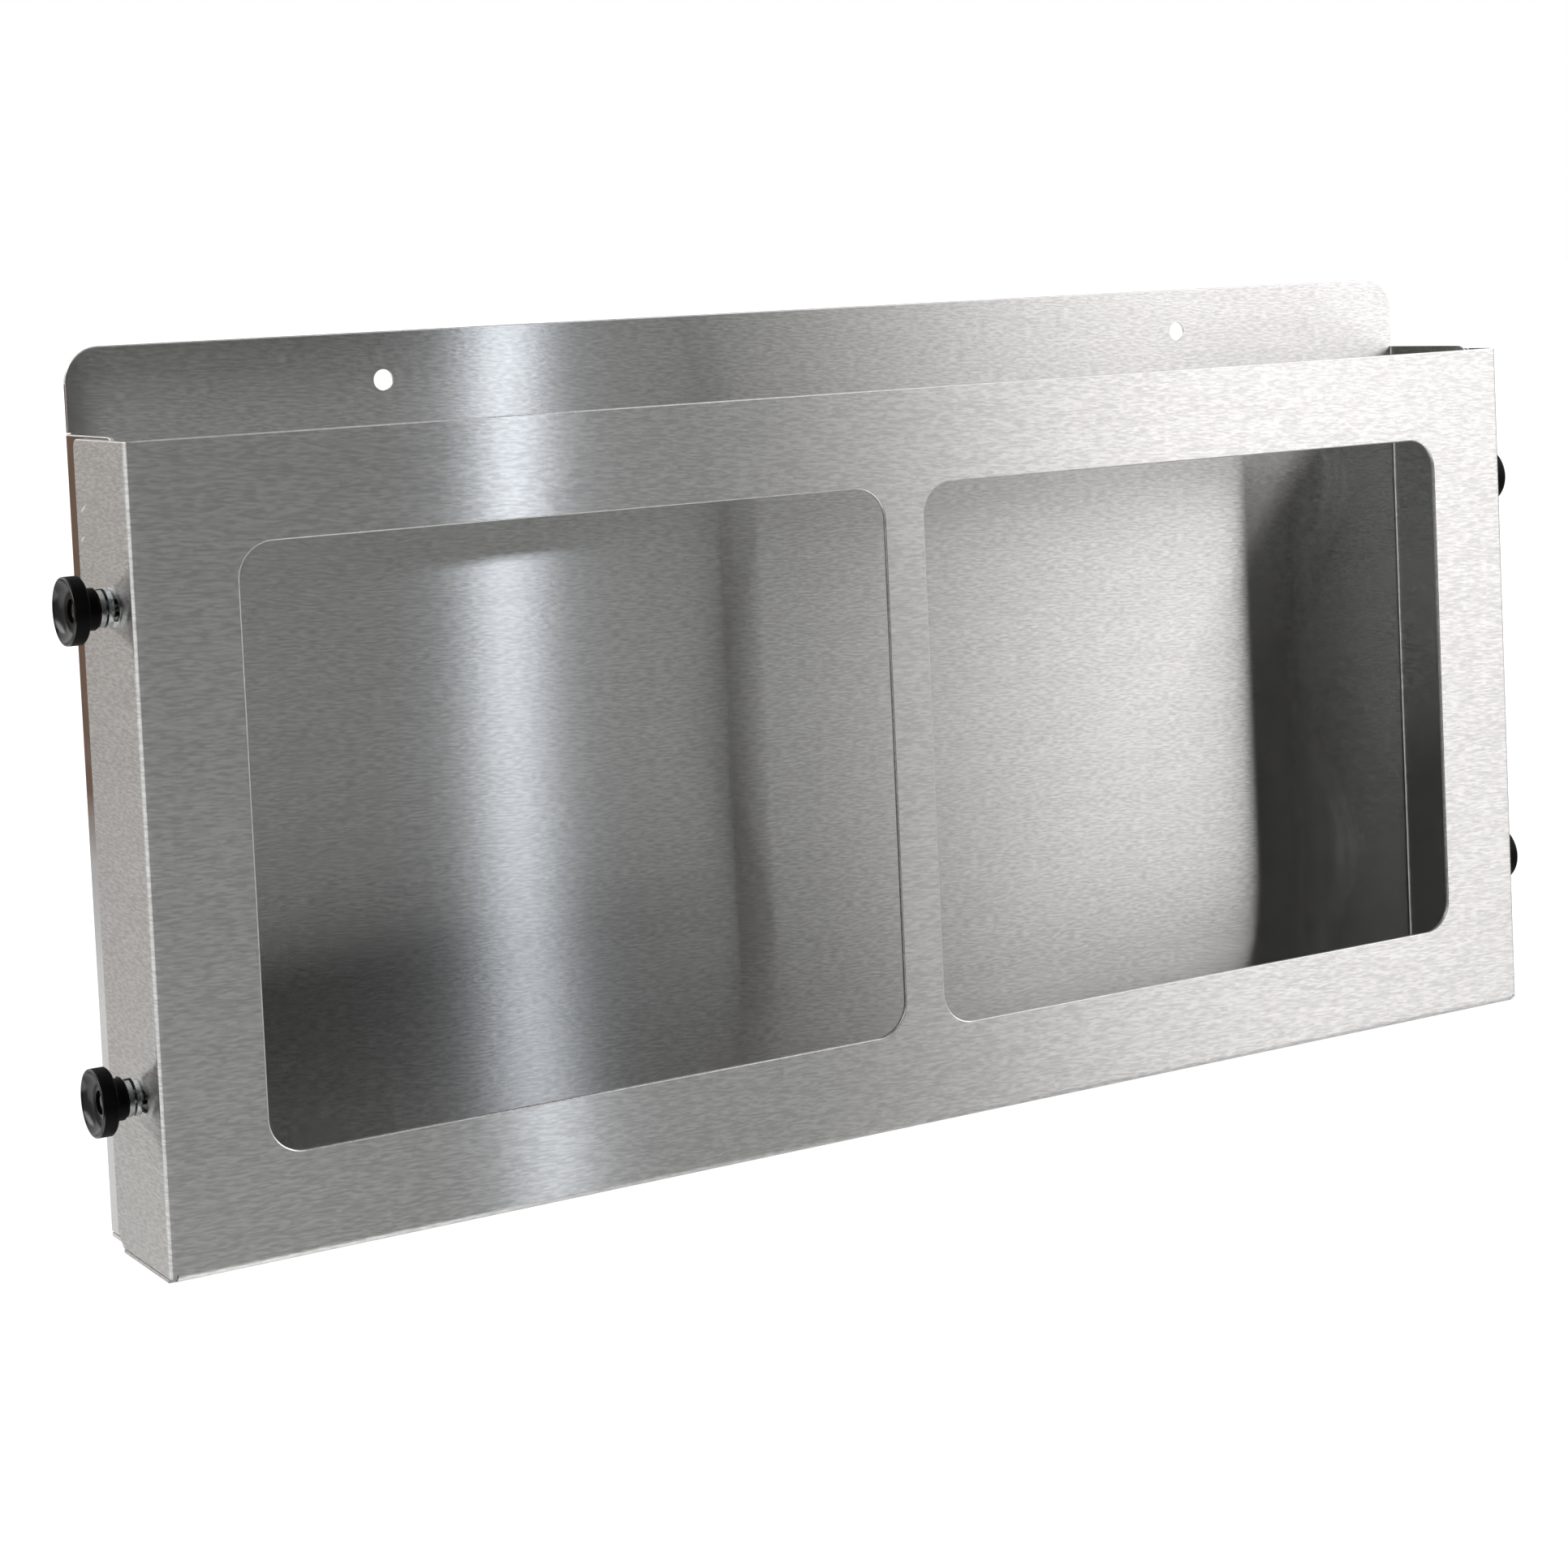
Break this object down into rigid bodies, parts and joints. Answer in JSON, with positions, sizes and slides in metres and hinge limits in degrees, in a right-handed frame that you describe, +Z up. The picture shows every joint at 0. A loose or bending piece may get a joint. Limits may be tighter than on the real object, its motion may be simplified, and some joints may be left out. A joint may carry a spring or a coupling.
{
  "type": "disposable glove dispenser",
  "caption": "Wall-hung folded steel holder for boxes of disposable gloves, with a windowed front cover that slides on the tray and is clamped by dished thumb knobs.",
  "frame": {"origin": "at the level of the cover's underside, at the middle of the width and of the depth", "axes": "+Z up, +X to the holder's right as seen from the front, +Y towards the wall, so the windows face -Y"},
  "size_m": [0.5782, 0.058, 0.282],
  "materials": {
    "tray_steel": "brushed stainless sheet, level grain",
    "cover_steel": "brushed stainless sheet, level grain",
    "knob_plastic": "black moulded plastic, matte sides and glossy dish",
    "stud_steel": "bright zinc-plated steel",
    "washer_zinc": "bright zinc-plated steel",
    "spring_zinc": "zinc-plated spring steel",
    "nut_steel": "plain stainless steel"
  },
  "bodies": {
    "tray": {"back_tray": "tray_steel", "left_upper_press_nut": "nut_steel", "left_lower_press_nut": "nut_steel", "right_upper_press_nut": "nut_steel", "right_lower_press_nut": "nut_steel"},
    "cover": {"front_cover": "cover_steel"},
    "left_upper_washers": {"left_upper_plain_washer": "washer_zinc", "left_upper_spring_washer": "spring_zinc"},
    "left_upper_knob_and_stud": {"left_upper_knob": "knob_plastic", "left_upper_stud": "stud_steel"},
    "left_lower_washers": {"left_lower_plain_washer": "washer_zinc", "left_lower_spring_washer": "spring_zinc"},
    "left_lower_knob_and_stud": {"left_lower_knob": "knob_plastic", "left_lower_stud": "stud_steel"},
    "right_upper_washers": {"right_upper_plain_washer": "washer_zinc", "right_upper_spring_washer": "spring_zinc"},
    "right_upper_knob_and_stud": {"right_upper_knob": "knob_plastic", "right_upper_stud": "stud_steel"},
    "right_lower_washers": {"right_lower_plain_washer": "washer_zinc", "right_lower_spring_washer": "spring_zinc"},
    "right_lower_knob_and_stud": {"right_lower_knob": "knob_plastic", "right_lower_stud": "stud_steel"}
  },
  "joints": [
    {"name": "depth_slide", "type": "slide", "parent": "tray", "child": "cover", "axis": [0, -1, 0], "range_m": [-0.007, 0.016]},
    {"name": "left_upper_unscrew", "type": "slide", "parent": "tray", "child": "left_upper_washers", "axis": [-1, 0, 0], "range_m": [0, 0.00201]},
    {"name": "left_upper_turn", "type": "hinge", "parent": "left_upper_washers", "child": "left_upper_knob_and_stud", "pos_m": [-0.285, -0.007, 0.20325], "axis": [-1, 0, 0], "range_deg": [0, 720]},
    {"name": "left_lower_unscrew", "type": "slide", "parent": "tray", "child": "left_lower_washers", "axis": [-1, 0, 0], "range_m": [0, 0.00201]},
    {"name": "left_lower_turn", "type": "hinge", "parent": "left_lower_washers", "child": "left_lower_knob_and_stud", "pos_m": [-0.285, -0.007, 0.05325], "axis": [-1, 0, 0], "range_deg": [0, 720]},
    {"name": "right_upper_unscrew", "type": "slide", "parent": "tray", "child": "right_upper_washers", "axis": [1, 0, 0], "range_m": [0, 0.00201]},
    {"name": "right_upper_turn", "type": "hinge", "parent": "right_upper_washers", "child": "right_upper_knob_and_stud", "pos_m": [0.285, -0.007, 0.20325], "axis": [1, 0, 0], "range_deg": [0, 720]},
    {"name": "right_lower_unscrew", "type": "slide", "parent": "tray", "child": "right_lower_washers", "axis": [1, 0, 0], "range_m": [0, 0.00201]},
    {"name": "right_lower_turn", "type": "hinge", "parent": "right_lower_washers", "child": "right_lower_knob_and_stud", "pos_m": [0.285, -0.007, 0.05325], "axis": [1, 0, 0], "range_deg": [0, 720]}
  ],
  "couplings": [
    {"joint": "left_upper_unscrew", "follows": "left_upper_turn", "m_per_rad": 0.00015915},
    {"joint": "left_lower_unscrew", "follows": "left_lower_turn", "m_per_rad": 0.00015915},
    {"joint": "right_upper_unscrew", "follows": "right_upper_turn", "m_per_rad": 0.00015915},
    {"joint": "right_lower_unscrew", "follows": "right_lower_turn", "m_per_rad": 0.00015915}
  ]
}
